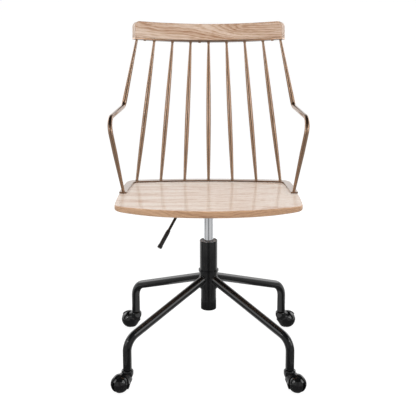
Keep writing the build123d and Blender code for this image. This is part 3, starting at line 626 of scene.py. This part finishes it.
def add_boss(bm, place, top, trail, height):
    """The swivel boss, hollowed below where the wheels turn."""
    core = 0.0004
    bore = 0.0057
    bore_depth = 0.018
    boss_height = 0.024
    floor_level = top - bore_depth
    low = top - boss_height
    profile = [
        (core, floor_level), (bore, floor_level), (bore, top), (0.0125, top), (0.0149, top - 0.0006),
        (0.0162, top - 0.002), (0.0165, top - 0.004), (0.0165, low + 0.013), (0.0158, low + 0.009),
        (0.0142, low + 0.005), (0.0122, low + 0.0006), (0.0115, low), (0.006, low), (core, low),
    ]
    wheel_middle = Vector((trail, 0, height))
    rows = []
    for radius, z in profile:
        row = []
        for i in range(hood_steps):
            turn = 2 * pi * i / hood_steps
            spot = Vector((radius * cos(turn), radius * sin(turn), z))
            away = spot - wheel_middle
            if away.length < hood_room:
                spot = wheel_middle + away.normalized() * hood_room
            row.append(spot)
        rows.append(row)
    add_sheet(bm, place, rows)


def clamp(value, low, high):
    """A value kept between two others."""
    return min(max(value, low), high)


def add_fender(bm, place, trail, height):
    """The shell over the wheels: narrow in front, wide behind, where it runs down from the boss.

    Angles are in degrees round the axle, from level on the boss's side, up and over the wheels.
    """
    first_angle = -46
    sweep = 200
    narrow_half = 18
    more_behind = 46
    narrow_from = 75
    narrowing = 55
    line_angle = -40
    line_most = 48
    line_end = 72
    line_fade = 32
    ridge_power = 1.5
    turns = 24
    rows = []
    for i in range(hood_steps + 1):
        angle = first_angle + sweep * i / hood_steps
        behind = clamp((narrow_from - angle) / narrowing, 0, 1)
        half = radians(narrow_half + more_behind * behind * behind * (3 - 2 * behind))
        reach = hood_radius / cos(radians(clamp(angle - line_angle, 0, line_most)))
        reach = hood_radius + (reach - hood_radius) * clamp((line_end - angle) / line_fade, 0, 1)
        row = []
        for inside in (False, True):
            for k in range(turns + 1):
                side = half * (2 * k / turns - 1)
                bulge = cos(min(abs(side) * 2, pi / 2)) ** ridge_power
                radius = hood_room if inside else hood_radius + (reach - hood_radius) * bulge
                side = -side if inside else side
                flat = radius * cos(side)
                row.append((
                    trail - flat * cos(radians(angle)),
                    radius * sin(side),
                    height + flat * sin(radians(angle)),
                ))
        rows.append(row)
    add_sheet(bm, place, rows)


def add_web(bm, place, trail, height):
    """The plate between the two wheels, round the axle."""
    axle_radius = 0.0032
    half = 0.0023
    first_angle = -36
    sweep = 186
    steps = 40
    rows = []
    for i in range(steps + 1):
        angle = radians(first_angle + sweep * i / steps)
        corners = ((axle_radius, -half), (hood_room, -half), (hood_room, half), (axle_radius, half))
        rows.append([(trail - r * cos(angle), y, height + r * sin(angle)) for r, y in corners])
    add_sheet(bm, place, rows)


def make_hood(leg):
    """A caster's hood: boss, fender and web, in place of the plainer one."""
    node = "caster_" + leg + "_hood"
    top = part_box(node)[1].z
    stem = sum(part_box("caster_" + leg + "_stem"), Vector()) / 2
    axle = sum(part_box("caster_" + leg + "_axle"), Vector()) / 2
    outward = Vector((axle.x - stem.x, axle.y - stem.y, 0))
    trail = outward.length
    heading = Matrix.Rotation(atan2(outward.y, outward.x), 4, "Z")
    place = Matrix.Translation((stem.x, stem.y, 0)) @ heading
    bm = bmesh.new()
    add_boss(bm, place, top, trail, axle.z)
    add_fender(bm, place, trail, axle.z)
    add_web(bm, place, trail, axle.z)
    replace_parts(add_piece(node + "_detail", bm, leg + "_caster", "gloss_black"), node)


screw_kinds = (
    ("crest_screws", crest_frame, (0.0045, 0.0024), 0.002, cross_radius, 0.0024, 0.0006, "copper_finish"),
    ("bar_screws", seat_frame, (0.00525, 0.003), 0.003, hexagon_radius, 0.002, 0.0, "bright_steel"),
    ("plate_screws", seat_frame, (0.0055, 0.003), 0.0025, cross_radius, 0.003, 0.0008, "bright_steel"),
)
for node, local, head, shank, recess, reach, half_width, slot_name in screw_kinds:
    bm = bmesh.new()
    for spots in find_screws(node, local):
        add_screw(bm, local, spots, head, shank, recess, reach, half_width)
    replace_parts(add_piece(node + "_detail", bm, "seat", slot_name), node)

bm = bmesh.new()
for leg in legs:
    low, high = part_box("caster_" + leg + "_stem")
    leg_weld(bm, atan2(low.y + high.y, low.x + high.x))
add_piece("leg_welds", bm, "base", "black_steel")

for leg in legs:
    make_hood(leg)

bm = bmesh.new()
for rod in [f"spindle_{i}" for i in range(1, 8)] + ["arm_rod_left", "arm_rod_right"]:
    rod_weld(bm, rod, seat_frame, min, seat_rod_bead)
    rod_weld(bm, rod, crest_frame, max, crest_rod_bead)
add_piece("rod_welds", bm, "seat", "copper_finish")


# Studio: white floor and world, softboxes, and grey cards that shape the reflections
def make_stage(name, points, faces):
    """A mesh that belongs to the studio and not to the chair."""
    mesh = bpy.data.meshes.new(name)
    mesh.from_pydata(points, [], faces)
    piece = bpy.data.objects.new(name, mesh)
    scene.collection.objects.link(piece)
    return piece


def seen_rays(tree):
    """1 for rays that show the background: from the camera, off gloss or through glass."""
    paths = tree.nodes.new("ShaderNodeLightPath")
    total = paths.outputs["Is Camera Ray"]
    for name in ("Is Glossy Ray", "Is Transmission Ray"):
        add = tree.nodes.new("ShaderNodeMath")
        add.operation = "MAXIMUM"
        tree.links.new(total, add.inputs[0])
        tree.links.new(paths.outputs[name], add.inputs[1])
        total = add.outputs[0]
    return total


def make_floor(half, glow_level, shadow_share):
    """A floor that shows as white, darker only by a share of the shadow on it."""
    floor_grey = 0.8
    corners = [(-half, -half, 0), (half, -half, 0), (half, half, 0), (-half, half, 0)]
    floor = make_stage("floor", corners, [(0, 1, 2, 3)])
    material = bpy.data.materials.new("floor_white")
    material.use_nodes = True
    tree = material.node_tree
    tree.nodes.clear()
    plain = tree.nodes.new("ShaderNodeBsdfDiffuse")
    plain.inputs["Color"].default_value = (floor_grey, floor_grey, floor_grey, 1)
    shown = tree.nodes.new("ShaderNodeBsdfDiffuse")
    shown.inputs["Color"].default_value = (shadow_share, shadow_share, shadow_share, 1)
    glow = tree.nodes.new("ShaderNodeEmission")
    glow.inputs["Strength"].default_value = glow_level
    both = tree.nodes.new("ShaderNodeAddShader")
    tree.links.new(shown.outputs[0], both.inputs[0])
    tree.links.new(glow.outputs[0], both.inputs[1])
    pick = tree.nodes.new("ShaderNodeMixShader")
    tree.links.new(seen_rays(tree), pick.inputs[0])
    tree.links.new(plain.outputs[0], pick.inputs[1])
    tree.links.new(both.outputs[0], pick.inputs[2])
    output = tree.nodes.new("ShaderNodeOutputMaterial")
    tree.links.new(pick.outputs[0], output.inputs["Surface"])
    floor.data.materials.append(material)


def make_world(ambient):
    """White where it is seen, and a plain grey level of light everywhere."""
    world = bpy.data.worlds.new("studio")
    scene.world = world
    world.use_nodes = True
    tree = world.node_tree
    background = tree.nodes["Background"]
    background.inputs["Color"].default_value = (1, 1, 1, 1)
    level = tree.nodes.new("ShaderNodeMapRange")
    tree.links.new(seen_rays(tree), level.inputs["Value"])
    level.inputs["To Min"].default_value = ambient
    tree.links.new(level.outputs[0], background.inputs["Strength"])


def softbox(name, place, target, size, power, mirrored=True):
    """A rectangular lamp, facing a target; one that isn't mirrored doesn't show in reflections."""
    lamp = bpy.data.lights.new(name, "AREA")
    lamp.shape = "RECTANGLE"
    lamp.size, lamp.size_y = size
    lamp.energy = power
    piece = bpy.data.objects.new(name, lamp)
    piece.location = place
    piece.rotation_euler = (Vector(target) - Vector(place)).to_track_quat("-Z", "Y").to_euler()
    piece.visible_camera = False
    piece.visible_glossy = mirrored
    scene.collection.objects.link(piece)


def card(name, start, end, near, far, grey):
    """A grey card that only reflections see.

    It spans two bearings from the front, in degrees, and two edges, each a reach and a height.
    """
    steps = 16
    points = []
    for reach, height in (near, far):
        for step in range(steps + 1):
            bearing = radians(start + (end - start) * step / steps - 90)
            points.append((reach * cos(bearing), reach * sin(bearing), height))
    faces = [(i, i + 1, steps + 2 + i, steps + 1 + i) for i in range(steps)]
    piece = make_stage(name, points, faces)
    material = bpy.data.materials.new(name)
    material.use_nodes = True
    tree = material.node_tree
    tree.nodes.clear()
    glow = tree.nodes.new("ShaderNodeEmission")
    glow.inputs["Color"].default_value = (grey, grey, grey, 1)
    output = tree.nodes.new("ShaderNodeOutputMaterial")
    tree.links.new(glow.outputs[0], output.inputs["Surface"])
    piece.data.materials.append(material)
    piece.visible_camera = False
    piece.visible_diffuse = False
    piece.visible_shadow = False
    piece.visible_transmission = False


# Reaches from the chair's middle and heights of the cards
room = 4.6
ceiling = 3.7
card_level = 0.003
middle = 0.01
under_reach = 0.27
caster_reach = 0.5
near_reach = 1.0

make_floor(half=12.0, glow_level=0.92, shadow_share=0.2)
make_world(ambient=0.42)
softbox("top_box", (0.0, -0.5, 2.7), (0, 0, 0.4), (1.0, 0.6), 18.5, mirrored=False)
for side, name, power in ((-1, "left", 8), (1, "right", 11)):
    softbox(name + "_box", (2.08 * side, -0.97, 1.47), (0, 0, 0.4), (0.9, 1.8), power)
    softbox(name + "_spot", (1.65 * side, -1.53, 1.55), (0, 0, 0.3), (0.3, 0.3), 3)
    softbox(name + "_rim", (1.78 * side, 1.66, 1.2), (0, 0, 0.4), (1.3, 1.0), 7.5)
softbox("front_box", (0.0, -3.6, 2.3), (0, 0, 0.5), (1.8, 0.7), 20, mirrored=False)

# Cards round the chair: bearings, then the greys of the wall, the ground and the ground near the chair;
# the greyer ground near the chair is a painted shadow of the chair, seen only in reflections
cards = [("front", -14, 14, 0.28, 0.25, 0.12)]
for part, start, end, wall, ground, near in (
    ("", 14, 80, 0.48, 0.6, 0.36),
    ("_gap", 80, 98, 0.12, 0.25, 0.36),
    ("_back", 98, 110, 0.6, 0.6, 0.36),
):
    cards.append(("right" + part, start, end, wall, ground, near))
    cards.append(("left" + part, -end, -start, wall, ground, near))
for name, start, end, wall, ground, near in cards:
    card(name + "_wall", start, end, (room, 0.0), (room, ceiling), wall)
    card(name + "_ground", start, end, (near_reach, card_level), (room, card_level), ground)
    card(name + "_near_ground", start, end, (caster_reach, card_level), (near_reach, card_level), near)
card("under_ground", -180, 180, (middle, card_level), (under_reach, card_level), 0.9)
# Painted shadow: the dark ring round the casters stands in for the chair's shadow on the ground, seen only
# in reflections
card("caster_ground", -180, 180, (under_reach, card_level), (caster_reach, card_level), 0.16)
card("ceiling", -180, 180, (middle, ceiling), (room, ceiling), 0.045)
